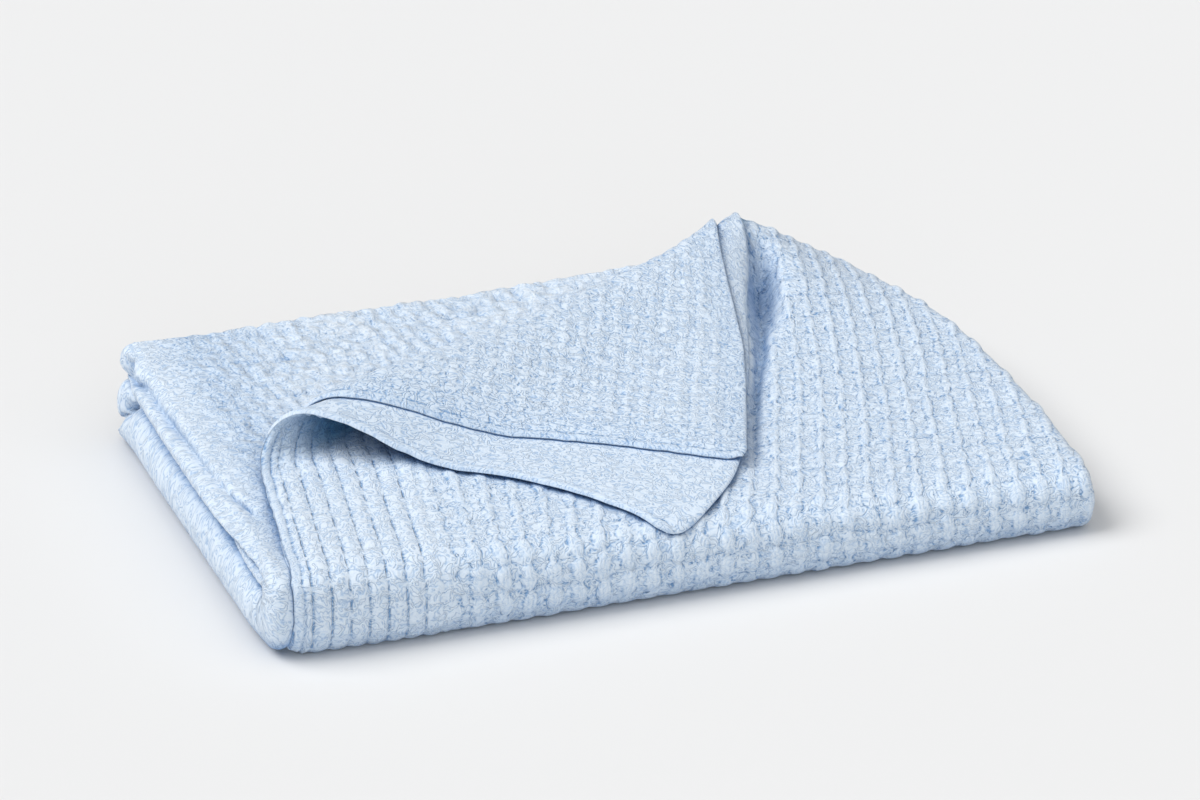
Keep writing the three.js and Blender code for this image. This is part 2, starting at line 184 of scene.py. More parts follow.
def settle(x, y, z):
    """Let the layers sink where the third run has ended, loosen toward the left, and take the left side's
    grooves and the right side's draw-in."""
    top = top_height(x, y)
    back_round = np.clip((y - BACK_Y + 9) / 9.5, 0, 1)
    top = top - 3 * (1 - np.sqrt(1 - back_round ** 2))
    # Past the third run's end the four layers' room in the middle closes up
    room = 4 * HALF_PITCH
    kept = mix(1, 0.14, smooth(THIRD_END_X - 14, THIRD_END_X + 40, x) * smooth(0, 22, y))
    off = z - HALF_STACK
    size = np.minimum(np.abs(off), HALF_STACK)
    packed = np.minimum(size, room) * kept + np.maximum(0, size - room)
    share = 0.5 + 0.5 * np.sign(off) * packed / (room * kept + HALF_STACK - room)
    lift = (1 - smooth(-5, 90, x)) * mix(0.19, 0.07, np.clip(y / 300, 0, 1))
    raised = share + 4 * lift * share * (1 - share)
    above = np.maximum(0, off - HALF_STACK)
    valley_wide = mix(4.6, 14, smooth(160, 280, y))
    sink = read_table(*VALLEY, y) * hump(x - read_table(*VALLEY_PATH, y), valley_wide)
    z = (top - sink * (1 - smooth(0, 14, above))) * raised + above
    # The left side: bellies between the creases, gaping folds at the back corner
    leftward = (1 - smooth(-14, 46, x)) * smooth(4, 44, y)
    low, high = top * read_table(*LOWER_CREASE, y), top * read_table(*UPPER_CREASE, y)
    bellies = (LOWER_BELLY * np.sin(np.pi * np.clip(z / low, 0, 1))
               + UPPER_BELLY * np.sin(np.pi * np.clip((z - low) / (high - low), 0, 1)))
    creases = LOWER_DEEP * hump(z - low, LOWER_WIDE) + UPPER_DEEP * hump(z - high, UPPER_WIDE)
    mouths = sum(deep * hump(y - depth, wide) * hump(z - height, tall)
                 for depth, height, wide, tall, deep in MOUTHS)
    z = z - 2.6 * leftward * hump(z - high, 4.0)
    drawn = read_table(*TRIM, y) * smooth(330, RIGHT_TURN_X + 10, x)
    x = x + leftward * (creases + mouths - bellies) - drawn
    sunk = read_table(*SIDE_SINK, y) * (hump(x - read_table(*SIDE_CREASE, y), 2.6)
                                        * hump(z - read_table(*SIDE_HEIGHT, y), 5))
    return np.stack([x + 0.6 * sunk, y, z - 0.8 * sunk], -1)


# ---------------------------------------------------------------------------
# The cloth's own columns and rows. Its columns run right along the outer run,
# round the right fold, back, round the left fold and right again; its rows run
# from the outer sheet's back edge over the front to the under sheet's.

# Distance between two columns or two rows, and how many steps the folds and the hidden parts take instead
STEP = 2.3
RIGHT_STEPS, LEFT_STEPS, THIRD_STEPS = 12, 22, 25
WRAP_STEPS, FLOOR_STEPS, BACK_STEPS = 44, 60, 6
# Lengths along the cloth, across and then from back to back
FIRST_RUN, SECOND_RUN, THIRD_RUN, FOLD_ARC = 498.0, 504.0, 373.0, 26.0
TOP_DEPTH, WRAP_ARC, FLOOR_DEPTH, BACK_ARC = 380.0, 90.0, 287.0, 10.0
# Places of the closer lines at a free edge, and the radius of a free corner
RIM_PLACES = (0, 0.35, 0.9, 1.8, 3.2, 4.8, 5.9, 7.0, 8.6)
CORNER_ROUND = 13.0
# The runs of a column, in order of their numbers; and where a row lies
FIRST, SECOND, THIRD, RIGHT_FOLD, LEFT_FOLD = 1, 2, 3, 4, 5
ON_TOP, ON_FRONT, BELOW = 0, 1, 2


def edge_spaced(length):
    """Places from 0 to length, close together near 0 where the sewn rim is."""
    rim = np.asarray(RIM_PLACES)
    count = round((length - rim[-1]) / STEP)
    return np.concatenate([rim, rim[-1] + (length - rim[-1]) * np.arange(1, count + 1) / count])


first = edge_spaced(FIRST_RUN)
turn = np.pi * np.arange(1, RIGHT_STEPS) / RIGHT_STEPS
left_turn = np.pi * np.arange(1, LEFT_STEPS) / LEFT_STEPS
second = np.linspace(0, 1, round(SECOND_RUN / STEP))
third = np.linspace(0, 1, THIRD_STEPS)
COLS = {
    "run": np.repeat([FIRST, RIGHT_FOLD, SECOND, LEFT_FOLD, THIRD],
                     [len(first), len(turn), len(second), len(left_turn), len(third)]),
    "share": np.concatenate([first / FIRST_RUN, turn * 0 + 1, second, left_turn * 0 + 1, third]),
    "angle": np.concatenate([first * 0, turn, second * 0, left_turn, third * 0]),
    "place": np.concatenate([first, FIRST_RUN + FOLD_ARC * turn / np.pi,
                             FIRST_RUN + FOLD_ARC + SECOND_RUN * second,
                             FIRST_RUN + SECOND_RUN + FOLD_ARC * (1 + left_turn / np.pi),
                             FIRST_RUN + SECOND_RUN + 2 * FOLD_ARC + THIRD_RUN * third]),
}

top_rows = edge_spaced(TOP_DEPTH) / TOP_DEPTH
wrap_rows = np.arange(1, WRAP_STEPS + 1) / WRAP_STEPS
floor_rows = np.arange(1, FLOOR_STEPS + 1) / FLOOR_STEPS
back_turn = np.pi * np.arange(1, BACK_STEPS) / BACK_STEPS
zone = np.repeat([ON_TOP, ON_FRONT, BELOW], [len(top_rows), len(wrap_rows), len(floor_rows)])
share = np.concatenate([1 - top_rows, wrap_rows, floor_rows])
place = np.concatenate([TOP_DEPTH * top_rows, TOP_DEPTH + WRAP_ARC * wrap_rows,
                        TOP_DEPTH + WRAP_ARC + FLOOR_DEPTH * floor_rows])
ROWS = {
    "zone": np.concatenate([zone, np.full(len(back_turn), BELOW), zone[::-1]]),
    "share": np.concatenate([share, back_turn * 0 + 1, share[::-1]]),
    "turn": np.concatenate([zone * 0.0, back_turn, zone * 0.0 + np.pi]),
    "place": np.concatenate([place, place[-1] + BACK_ARC * back_turn / np.pi,
                             2 * place[-1] + BACK_ARC - place[::-1]]),
}


def scatter(a, b, seed):
    """A number from 0 to 1 for each whole-number pair, the same on every run."""
    value = np.sin(a * 127.1 + b * 311.7 + seed * 74.7) * 43758.5453
    return value - np.floor(value)


def waver(u, v, seed):
    """A slow wander from -1 to 1, made of eased steps between scattered values at whole numbers."""
    cu, cv = np.floor(u), np.floor(v)
    fu, fv = smooth(0, 1, u - cu), smooth(0, 1, v - cv)
    low = mix(scatter(cu, cv, seed), scatter(cu + 1, cv, seed), fu)
    high = mix(scatter(cu, cv + 1, seed), scatter(cu + 1, cv + 1, seed), fu)
    return 2 * mix(low, high, fv) - 1


def round_corner(from_side, from_back):
    """How far a point near the cloth's free corner moves in from each edge, to round the square corner."""
    u = np.clip(CORNER_ROUND - from_side, 0, None)
    v = np.clip(CORNER_ROUND - from_back, 0, None)
    kept = np.maximum(u, v) / np.maximum(np.hypot(u, v), 1e-9)
    return u * (1 - kept), v * (1 - kept)


def fold_cloth(col, row, offset):
    """The folded place of each point of the cloth: its place in the pair, in the thirds, in the turned
    corner, round the front and in the settled stack, one after another. offset is measured outward from
    the cloth's middle."""
    run = col["run"]
    in_first, on_top = run == FIRST, row["zone"] == ON_TOP
    under = row["turn"] > np.pi / 2
    share = np.where(in_first, col["share"], 1.0)
    back = np.where(under, read_table(*UNDER_BACK, share), read_table(*OUTER_BACK, share))
    reach = np.choose(row["zone"], [FRONT_DEPTH + (back - FRONT_DEPTH) * row["share"],
                                    FRONT_DEPTH - FRONT_WRAP * row["share"],
                                    FRONT_DEPTH - FRONT_WRAP - (BACK_Y - FRONT_DEPTH - 6) * row["share"]])
    pitch = 2 * HALF_PITCH
    radius = HALF_PITCH + offset
    # The free edges are a little wavy and the free corners round
    edge = np.where(under, read_table(*UNDER_EDGE, reach), read_table(*OUTER_EDGE, reach))
    edge = edge + 0.6 * waver(reach / 7, 3.0 * under, 50)
    back = back + 0.6 * waver(share * FIRST_RUN / 7, 3.0 * under, 51) * on_top
    flat_x = mix(edge, RIGHT_TURN_X, share)
    cut_x, cut_y = round_corner(flat_x - edge, back - reach)
    loose = in_first & on_top
    flat_x, reach = flat_x + np.where(loose, cut_x, 0), reach - np.where(loose, cut_y, 0)
    # At its free edge the under sheet closes up to the outer one
    closed = 1.9 * (1 - smooth(1, 18, flat_x - edge)) + 0.9 * (1 - smooth(0, 2.4, flat_x - edge))
    height = radius * np.cos(row["turn"]) + np.where(under & in_first, closed, 0)
    flat_y = reach - radius * np.sin(row["turn"])
    x1, y1, rise, past, angle = turn_back(flat_x, flat_y, height - HALF_PITCH)
    in_order = [in_first, run == RIGHT_FOLD, run == SECOND, run == LEFT_FOLD]
    x = np.select(in_order,
                  [x1, RIGHT_TURN_X + (pitch + height) * np.sin(col["angle"]),
                   mix(RIGHT_TURN_X, LEFT_TURN_X, col["share"]),
                   LEFT_TURN_X - (pitch - height) * np.sin(col["angle"])],
                  mix(LEFT_TURN_X, THIRD_END_X, col["share"]))
    level = np.select(in_order,
                      [rise + HALF_PITCH,
                       (pitch + height) * np.cos(col["angle"]) - pitch,
                       -2 * pitch - height,
                       (pitch - height) * np.cos(col["angle"]) - 3 * pitch],
                      height - 4 * pitch)
    # Where the under sheet's edge lies back from the outer one's, the outer edge sinks into that step
    step_back = read_table(*UNDER_EDGE, reach) - read_table(*OUTER_EDGE, reach)
    from_edge = flat_x - read_table(*OUTER_EDGE, reach)
    drop = 4.6 * smooth(1, 12, step_back) * (1 - smooth(0.3, 1.1, from_edge / np.maximum(step_back, 4)))
    level = level - np.where(in_first & ~under, drop * (1 - smooth(-45, -8, past)), 0)
    from_swell = np.hypot(flat_x - SWELL_AT[0], flat_y - SWELL_AT[1])
    level = level + np.where(loose & (past < 0), SWELL_HIGH * hump(from_swell, SWELL_WIDE), 0)
    # Round the front the left folds swell out to the outer sheet's edge, and that edge sinks onto them
    near_front = 1 - smooth(25, 70, reach)
    at_foot = smooth(0, 35, -reach)
    outermost = np.clip((level + 9 * HALF_PITCH) / (6 * HALF_PITCH), 0, 1)
    swell = mix(6.2, 8.2, at_foot) * near_front * (1 - smooth(9, 19, x)) * outermost
    sunk = mix(1.6, 0.3, at_foot) * near_front * (1 - smooth(2, 18, flat_x - edge))
    level = level + np.where(in_first, -sunk, swell)
    y, z = wrap_front(np.where(in_first, y1, flat_y), level)
    points = settle(x, y, z)
    points[..., :2] -= STACK_CENTRE
    return points, {"x": flat_x, "y": flat_y, "past": np.where(in_first, past, -99.0),
                    "under": under, "share": share}


def on_grid(source, index):
    """The columns' or rows' values at the numbers in index."""
    return {key: value[index] for key, value in source.items()}


n_col, n_row = len(COLS["place"]), len(ROWS["place"])
ii, jj = np.meshgrid(np.arange(n_col), np.arange(n_row))
col, row = on_grid(COLS, ii), on_grid(ROWS, jj)
middle, where = fold_cloth(col, row, 0.0)

# Every column and row is kept where the cloth shows, with a margin; elsewhere only every sixth, and every
# third where it curves
run, zone, under, past = col["run"], row["zone"], where["under"], where["past"]
on_floor = (zone == ON_FRONT) & (row["share"] > 0.97) | (zone == BELOW)
second_x = mix(RIGHT_TURN_X, LEFT_TURN_X, col["share"])
second_past = (where["y"] - TURN_AT[1]) * TURN_X - (second_x - TURN_AT[0]) * TURN_Y
outer_shows = ~under & ~on_floor & (run == FIRST) & (past < 30)
right_shows = ~under & ~on_floor & (run == RIGHT_FOLD)
flap_shows = under & (run == FIRST) & (past > 0)
rest_shows = under & (zone == ON_TOP) & (run == SECOND) & (second_past > -14)
left_shows = under & (run == LEFT_FOLD)
fine = outer_shows | right_shows | flap_shows | rest_shows | left_shows
lining_shows = ~under & (run == FIRST) & (past > 20) & (zone == ON_TOP)

sixth_col, sixth_row = ii % 6 == 0, jj % 6 == 0
in_fold = ((run == RIGHT_FOLD) | (run == LEFT_FOLD)) & sixth_row
in_wrap = (zone == ON_FRONT) & (jj % 3 == 0) & sixth_col
in_back = (row["turn"] > 0) & (row["turn"] < np.pi) & sixth_col
in_roll = (run == FIRST) & (past > -8) & (past < 62) & (ii % 3 == 0) & (jj % 3 == 0)
end_col, end_row = (ii == 0) | (ii == n_col - 1), (jj == 0) | (jj == n_row - 1)
border, corner = end_col | end_row, end_col & end_row
plain = (sixth_col & sixth_row | in_fold | in_wrap | in_back | in_roll | corner
         | border & (sixth_col | sixth_row))
keep_out = fine | plain
n_rim = len(RIM_PLACES)
keep_in = plain | lining_shows & (ii % 2 == 0) & ((jj % 2 == 0) | (jj < n_rim))
keep_in = keep_in | ~under & (run == FIRST) & (past > -20) & (zone == ON_TOP) & (ii < n_rim)
shared_border = border & (keep_out | keep_in)
keep_out, keep_in = keep_out | shared_border, keep_in | shared_border


def tile(keep):
    """Triangles over the kept points of the grid, laid out flat by their places along the cloth."""
    flat = np.stack([COLS["place"][ii[keep]], ROWS["place"][jj[keep]]], 1)
    _, _, faces, *_ = delaunay_2d_cdt([Vector(point) for point in flat.tolist()], [], [], 0, 1e-6)
    faces = np.asarray(faces, int)
    a, b, c = (flat[faces[:, k]] for k in range(3))
    turned = (b[:, 0] - a[:, 0]) * (c[:, 1] - a[:, 1]) - (b[:, 1] - a[:, 1]) * (c[:, 0] - a[:, 0]) > 0
    faces[turned] = faces[turned][:, ::-1]
    return faces


def vertex_normals(points, faces):
    """Each point's mean face normal, weighted by area."""
    a, b, c = (points[faces[:, k]] for k in range(3))
    face_normal = np.cross(b - a, c - a)
    total = np.zeros_like(points)
    for k in range(3):
        np.add.at(total, faces[:, k], face_normal)
    return total / np.maximum(np.linalg.norm(total, axis=1, keepdims=True), 1e-9)


faces_out = tile(keep_out)
faces_in = tile(keep_in)


# ---------------------------------------------------------------------------
# The knit. Raised beads of several loops stand in columns with flat ladders
# between them, and a thin ridge closes each row. The free left edge has a
# border of eight ribs, and a narrow sewn rim runs round the free edges.

# Beads: column to column, row to row on the front and on the top
BEAD_PITCH = 15.6
FRONT_ROW = 15.6
TOP_ROW = 21.5
# Ribs of the border, beads along a rib, the rim's stitches
RIB_PITCH = 11.6
RIBS = 8
RIB_BEAD = 8.0
RIB_ROW = 9.0
STITCH_PITCH = 2.4
# Beads on the turned flap and where the second run lies open
FLAP_COL, FLAP_ROW, FLAP_BEAD = 10.3, 13.0, 0.40
OPEN_COL, OPEN_ROW, OPEN_BEAD = 12.5, 17.0, 0.36
# Lean of the bead columns from the front edge to the back: place along the front, sideways shift at the back
LEAN = ([0, 13, 104, 323, 350, 430, 464, 519], [22, 26, 36, 103, 96, 79, 68, 52])
# How high the rows go before they turn onto the top: place, height; where the first bead column stands
SHOULDER = ([0, 260, 519], [66, 55, 47])
FIRST_BEAD_X = 104.0


def lumps(u, v, seed):
    """Rounded lumps, one to a cell at a scattered place: the root of one less the squared distance to the
    nearest centre."""
    cell_u, cell_v = np.floor(u), np.floor(v)
    nearest = np.full(np.shape(u), 9.0)
    for du in (-1, 0, 1):
        for dv in (-1, 0, 1):
            cu, cv = cell_u + du, cell_v + dv
            far = ((u - cu - 0.2 - 0.6 * scatter(cu, cv, seed)) ** 2
                   + (v - cv - 0.2 - 0.6 * scatter(cu, cv, seed + 1)) ** 2)
            nearest = np.minimum(nearest, far)
    return np.sqrt(np.clip(1 - 1.9 * nearest, 0, 1))


BEAD_HIGH, LADDER_HIGH = 2.4, 0.8
BEAD_CENTRE = 0.32


def beads(c, r, width, seed=0):
    """A bead near each cell's left side, and a lower ladder of short floats beside it. Both are rounded
    boxes: the root of one less high powers of the distances across and along."""
    ci, ri = np.floor(c), np.floor(r)
    size = 0.72 + 0.5 * scatter(ci, ri, seed)
    across, along = c - ci - BEAD_CENTRE, r - ri - 0.5
    body = np.sqrt(np.clip(1 - np.abs(across / (1.1 * width)) ** 2.4 - np.abs(along / 0.56) ** 2.6, 0, 1))
    beside = across - 0.5
    beside = beside - np.round(beside)
    ladder = np.sqrt(np.clip(1 - np.abs(beside / (0.50 - width * 0.86)) ** 3, 0, 1))
    ladder = ladder * (1 - 0.2 * hump(np.abs(along) - 0.5, 0.09))
    return BEAD_HIGH * size * body + LADDER_HIGH * ladder


# How far each point lies up the cloth from where it leaves the floor
front_arc = np.linalg.norm(np.diff(middle, axis=0), axis=-1)
travelled = np.concatenate([np.zeros((1, n_col)), np.cumsum(front_arc, 0)])
start = np.argmax((ROWS["zone"] == ON_FRONT) & (ROWS["share"] > 0.86) & (ROWS["turn"] == 0))
from_floor = travelled[start][None] - travelled

# The knit's columns and rows on the outer sheet: the columns stand upright on the front and lean over the
# top. A column's place is found from where it starts, in a few rounds.
x, y = where["x"], where["y"]
depth = np.clip(y - 8, 0, 330) / BACK_Y
sway = 1.35 * depth - 0.35 * depth ** 2
seen_x = x - read_table(*TRIM, np.clip(y, 0, BACK_Y)) * smooth(330, RIGHT_TURN_X + 10, x)
start_x = seen_x
for _ in range(12):
    start_x = seen_x - read_table(*LEAN, start_x) * sway
around = np.where(run == RIGHT_FOLD, FOLD_ARC * col["angle"] / np.pi, 0)
shoulder = read_table(*SHOULDER, start_x)
over_shoulder = from_floor - shoulder
knit_row = np.where(over_shoulder < 0, from_floor / FRONT_ROW,
                    shoulder / FRONT_ROW + over_shoulder / TOP_ROW)
knit_col = (start_x + around - FIRST_BEAD_X) / BEAD_PITCH
knit_col = knit_col + 0.10 * waver(knit_col / 3, knit_row / 2.5, 31)
knit_row = knit_row + 0.12 * waver(knit_col / 2, knit_row / 3, 32)
knit_col, knit_row = (knit_col + 0.07 * waver(knit_col, knit_row, 36),
                      knit_row + 0.16 * waver(knit_col, knit_row, 37))
on_top = smooth(-6, 10, over_shoulder)
near_floor = 1 - smooth(4, 20, from_floor)
bead_width = mix(0.33, 0.24, on_top)
bead = beads(knit_col, knit_row, bead_width) * mix(1.0, 0.85, on_top)
bead = mix(bead, 0.5 * bead + 0.8 * lumps(col["place"] / 6.5, from_floor / 6.0, 40), near_floor)

# The border's ribs along the free left edge, and the ridge that ends it
from_edge = x - read_table(*OUTER_EDGE, y)
border_width = RIBS * RIB_PITCH
rib_place = from_edge / RIB_PITCH
rib_shape = np.abs(np.sin(np.pi * rib_place)) ** 0.55
along_rib = from_floor / RIB_BEAD + 0.5 * np.floor(rib_place) + 0.4 * waver(rib_place, from_floor / 30, 33)
rib_beads = 0.55 + 0.45 * np.abs(np.sin(np.pi * along_rib)) ** 0.7
in_border = 1 - smooth(border_width - 0.5, border_width + 3, from_edge)
end_ridge = 1.6 * hump(from_edge - border_width - 3.5, 2.2)
beyond_border = smooth(border_width + 4, border_width + 10, from_edge)
outer_relief = mix(bead * beyond_border, 2.1 * rib_shape * rib_beads, in_border) + end_ridge

# The under sheet's finer face on the turned corner, plain along its edges
under_edge = x - read_table(*UNDER_EDGE, y)
back_gap = np.where(under, read_table(*UNDER_BACK, where["share"]), 0) - y
flap_col, flap_row = (y + 0.31 * x) / FLAP_COL, (x - 0.22 * y) / FLAP_ROW
off_edges = smooth(20, 34, under_edge) * smooth(12, 20, back_gap)
flap_relief = 0.5 * beads(flap_col, flap_row, FLAP_BEAD, 11) * mix(0.1, 1, off_edges)

# Crumpled beads where the second run lies open, and slight ripples down the left folds
open_col = (second_x + 0.12 * y) / OPEN_COL + 0.35 * waver(second_x / 40, y / 34, 34)
open_row = y / OPEN_ROW + 0.45 * waver(second_x / 30, y / 40, 35)
crumple = (2.3 * lumps(second_x / 11 + 0.3 * y / 15, y / 15, 23)
           + 1.5 * lumps(second_x / 6.5 - 0.2 * y / 9, y / 9, 25)
           + 1.0 + 1.0 * waver(second_x / 24 + y / 50, y / 30, 38))
open_relief = 0.5 * beads(open_col, open_row, OPEN_BEAD, 21) + crumple
open_relief = open_relief * mix(0.3, 1, smooth(20, 110, second_x) * smooth(130, 230, y))
ripple = 1.1 * lumps(row["place"] / 8.0, col["place"] / 13.0, 60)

# How deep inside the turned corner's roll a point of the outer face lies, and so how much painted shade it
# gets there
along_roll = (x - TURN_AT[0]) * TURN_X + (y - TURN_AT[1]) * TURN_Y
painted_roll_shade = smooth(-12, 14, past) * (0.1 + 0.85 * smooth(-35, 4, along_roll))
painted_roll_shade = np.where((run == FIRST) & ~under, painted_roll_shade, 0)

# Which face a point lies on: 0 the outer sheet's, 1 round the right fold, 2 the turned flap's, 3 the second
# run's, 4 any other
kind = np.select([(run == FIRST) & ~under, run == RIGHT_FOLD, (run == FIRST) & under, run == SECOND],
                 [0, 1, 2, 3], 4)
relief = np.choose(kind, [outer_relief, np.where(under, 0, bead), flap_relief,
                          np.where(under, open_relief, 0), np.where(under & (run == LEFT_FOLD), ripple, 0)])
# Distance from the sewn left edge, where the rim is thick, and from any free edge
sewn = col["place"]
end = np.minimum(np.minimum(col["place"], COLS["place"][-1] - col["place"]),
                 np.minimum(row["place"], ROWS["place"][-1] - row["place"]))
relief = relief * fine * smooth(6.0, 8.5, sewn) * smooth(0, 3.0, end)
beaded = np.choose(kind, [smooth(border_width + 2.8, border_width + 6, from_edge), 1 + 0 * x, 0.6 + 0 * x,
                          0.6 * smooth(8, 40, second_x), 0 * x])
ribbed = np.where(kind == 0, 1 - smooth(border_width - 4.5, border_width - 1.8, from_edge), 0)

# Half the cloth's thickness where it ends
EDGE_HALF = 0.3


def half_thickness(sewn, end):
    """Half the cloth's thickness: round at every free edge, and a little thicker outside the sewn rim's
    stitches, which sink in."""
    rounded = np.sqrt(1 - (1 - np.clip(end / 2.4, 0, 1)) ** 2)
    swollen = 1.0 * (1 - smooth(4.4, 6.6, sewn)) - 0.35 * hump(sewn - 6.6, 0.8)
    return EDGE_HALF + (CLOTH_THICK / 2 - EDGE_HALF + swollen) * rounded


def face_points(keep, faces, side):
    """One face of the cloth: folded half a thickness off the middle, then raised by the knit along its own
    normal. The under sheet's rim isn't swollen."""
    c, r = on_grid(COLS, ii[keep]), on_grid(ROWS, jj[keep])
    rim = np.where(r["turn"] > np.pi / 2, np.maximum(sewn[keep], 9), sewn[keep])
    points, _ = fold_cloth(c, r, side * half_thickness(rim, end[keep]))
    if side > 0:
        points = points + vertex_normals(points, faces) * relief[keep][:, None]
    return points


outer_points = face_points(keep_out, faces_out, 1)
inner_points = face_points(keep_in, faces_in, -1)


# ---------------------------------------------------------------------------
# The cloth itself: both faces and the rounded rim that joins them, one closed
# mesh in place of the plain solid.

def ring_of(grid):
    """A grid's border values in order, once round the cloth."""
    sides = [grid[0, :], grid[:, -1], grid[-1, ::-1], grid[::-1, 0]]
    return np.concatenate([side[:-1] for side in sides])


def numbered(keep):
    """The number of each kept point, or -1."""
    number = np.full(ii.shape, -1)
    number[keep] = np.arange(keep.sum())
    return number


ring_out, ring_in = ring_of(numbered(keep_out)), ring_of(numbered(keep_in))
ring_out, ring_in = ring_out[ring_out >= 0], ring_in[ring_in >= 0]
n_out, n_in = len(outer_points), len(inner_points)
follow = np.roll(np.arange(len(ring_out)), -1)
edge_way = outer_points[ring_out[follow]] - outer_points[np.roll(ring_out, 1)]
push = np.cross(outer_points[ring_out] - inner_points[ring_in], edge_way)
push = push / np.maximum(np.linalg.norm(push, axis=1, keepdims=True), 1e-9)
ring_middle = (outer_points[ring_out] + inner_points[ring_in]) / 2 + 0.25 * push

points = np.concatenate([outer_points, inner_points, ring_middle])
a_out, b_out = ring_out, ring_out[follow]
a_in, b_in = ring_in + n_out, ring_in[follow] + n_out
a_mid = np.arange(len(ring_out)) + n_out + n_in
b_mid = a_mid[follow]
wall = np.concatenate([np.stack([a_out, a_mid, b_mid], 1), np.stack([a_out, b_mid, b_out], 1),
                       np.stack([a_mid, a_in, b_in], 1), np.stack([a_mid, b_in, b_mid], 1)])
faces = np.concatenate([faces_out, faces_in[:, ::-1] + n_out, wall[:, ::-1]])

mesh = bpy.data.meshes.new("throw_cloth")
mesh.from_pydata((points / 1000).tolist(), [], faces.tolist())
mesh.validate()
mesh.polygons.foreach_set("use_smooth", np.ones(len(mesh.polygons), bool))
cloth = bpy.data.objects.new("throw_cloth", mesh)
bpy.context.scene.collection.objects.link(cloth)


def per_point(values, inner=None):
    """A grid value, or an outer and an inner one, at each of the mesh's points: outer face, inner face and
    the rim between them."""
    rim_ids = ring_of(np.arange(ii.size).reshape(ii.shape))
    rim_ids = rim_ids[ring_of(keep_out)]
    inner = values if inner is None else inner
    return np.concatenate([values[keep_out], inner[keep_in], inner.ravel()[rim_ids]])


def add_attribute(name, *parts):
    """Store one number or three at each point for the material."""
    layer = mesh.attributes.new(name, "FLOAT_VECTOR" if len(parts) == 3 else "FLOAT", "POINT")
    data = np.stack([per_point(*part) if isinstance(part, tuple) else per_point(part)
                     for part in parts], -1)
    layer.data.foreach_set("vector" if len(parts) == 3 else "value", data.astype(np.float32).ravel())


outside = np.concatenate([np.ones(n_out), np.zeros(n_in), np.zeros(len(ring_out))])
kind_col = np.choose(kind, [np.where(in_border > 0.5, rib_place, knit_col), knit_col,
                            flap_col, open_col, open_col])
kind_row = np.choose(kind, [np.where(in_border > 0.5, from_floor / RIB_ROW, knit_row), knit_row,
                            flap_row, open_row, open_row])
add_attribute("knit place", kind_col, kind_row, (row["place"] + 0.6 * sewn) / STITCH_PITCH)
add_attribute("knit kind", ribbed * fine, beaded * fine, sewn)
kind_bead = np.choose(kind, [bead_width, bead_width, OPEN_BEAD + 0 * x, OPEN_BEAD + 0 * x, 0 * x])
# Beside the bead's width: how much the painted shade in the hollows is eased near the floor, and whether the
# point lies on the inner face, where that painted shade is stronger
add_attribute("knit bead", kind_bead, np.where(kind < 2, 1 - smooth(6, 32, from_floor), 0),
              (0 * x, 1 + 0 * x))
# The lift's second number is how much painted shade a point gets inside the turned corner's roll
add_attribute("knit lift", relief / 2.5, (painted_roll_shade, 0 * painted_roll_shade),
              np.where(kind == 3, smooth(6, 45, second_x), 0.0))
place_u, place_v = per_point(col["place"]), per_point(row["place"])
# The inner face's places lie apart from the outer face's, so that its strands are its own
INNER_SHIFT = 4000
uv_layer = mesh.uv_layers.new(name="cloth place")
loops = np.empty(len(mesh.loops), int)
mesh.loops.foreach_get("vertex_index", loops)
cloth_places = np.stack([place_u, place_v + INNER_SHIFT * (1 - outside)], 1) / 1000
uv_layer.data.foreach_set("uv", cloth_places[loops].ravel())

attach(cloth, "root")
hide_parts("throw_blanket")


# ---------------------------------------------------------------------------
# Cotton yarn: pale blue, soft spun and slightly brushed. Its strands curl over
# one another all over the knit; the deeper blue of the gaps between them is painted shade.

def linear(hex_colour):
    """An sRGB hex value as linear red, green, blue and alpha."""
    parts = [int(hex_colour[k:k + 2], 16) / 255 for k in (1, 3, 5)]
    return tuple(c / 12.92 if c <= 0.04045 else ((c + 0.055) / 1.055) ** 2.4 for c in parts) + (1.0,)


def add(kind, *inputs, **settings):
    """Add a node to the yarn, and give its first output. What follows the kind's dot is its operation, or a
    range's way of easing. Each input is another node's output to link, a plain value, or None to leave it."""
    kind, _, choice = kind.partition(".")
    node = yarn.node_tree.nodes.new("ShaderNode" + kind)
    if choice:
        setattr(node, "interpolation_type" if kind == "MapRange" else "operation", choice)
    for name, value in settings.items():
        setattr(node, name, value)
    for socket, value in zip(node.inputs, inputs):
        if isinstance(value, bpy.types.NodeSocket):
            yarn.node_tree.links.new(value, socket)
        elif value is not None:
            socket.default_value = value
    return node.outputs[0] if node.outputs else node


yarn = bpy.data.materials.new("brushed cotton yarn")
yarn.use_nodes = True
yarn.node_tree.nodes.clear()

cloth_place = add("UVMap", uv_map="cloth place")
place_here, kind_here, lift_here, bead_here = [
    add("SeparateXYZ", add("Attribute", attribute_name="knit " + name)).node.outputs
    for name in ("place", "kind", "lift", "bead")]
column_at, row_at, stitch_at = place_here
ribbed_here, beaded_here, sewn_here = kind_here
lift, roll_shade_here, open_run = lift_here
# The bead's second and third numbers ease the painted shade in the hollows near the floor and strengthen it
# on the inner face
bead_wide, low_here, lining_here = bead_here

# Patterns, in turns a metre of cloth. The real strands are about 1 mm thick, too fine for the picture: they
# are drawn a little coarser here.
CURL, WANDER, BROKEN, FIBRE, PITS, RUMPLE = 180.0, 160.0, 150.0, 1100.0, 360.0, 120.0
curl = add("TexNoise", cloth_place, None, CURL, 1.0, 0.5, 2.0, None, None, 0.8)
wander = add("TexNoise", cloth_place, None, WANDER, 1.0)
broken = add("TexNoise", cloth_place, None, BROKEN, 2.0)
fibre = add("TexNoise", cloth_place, None, FIBRE, 2.0, 0.6)

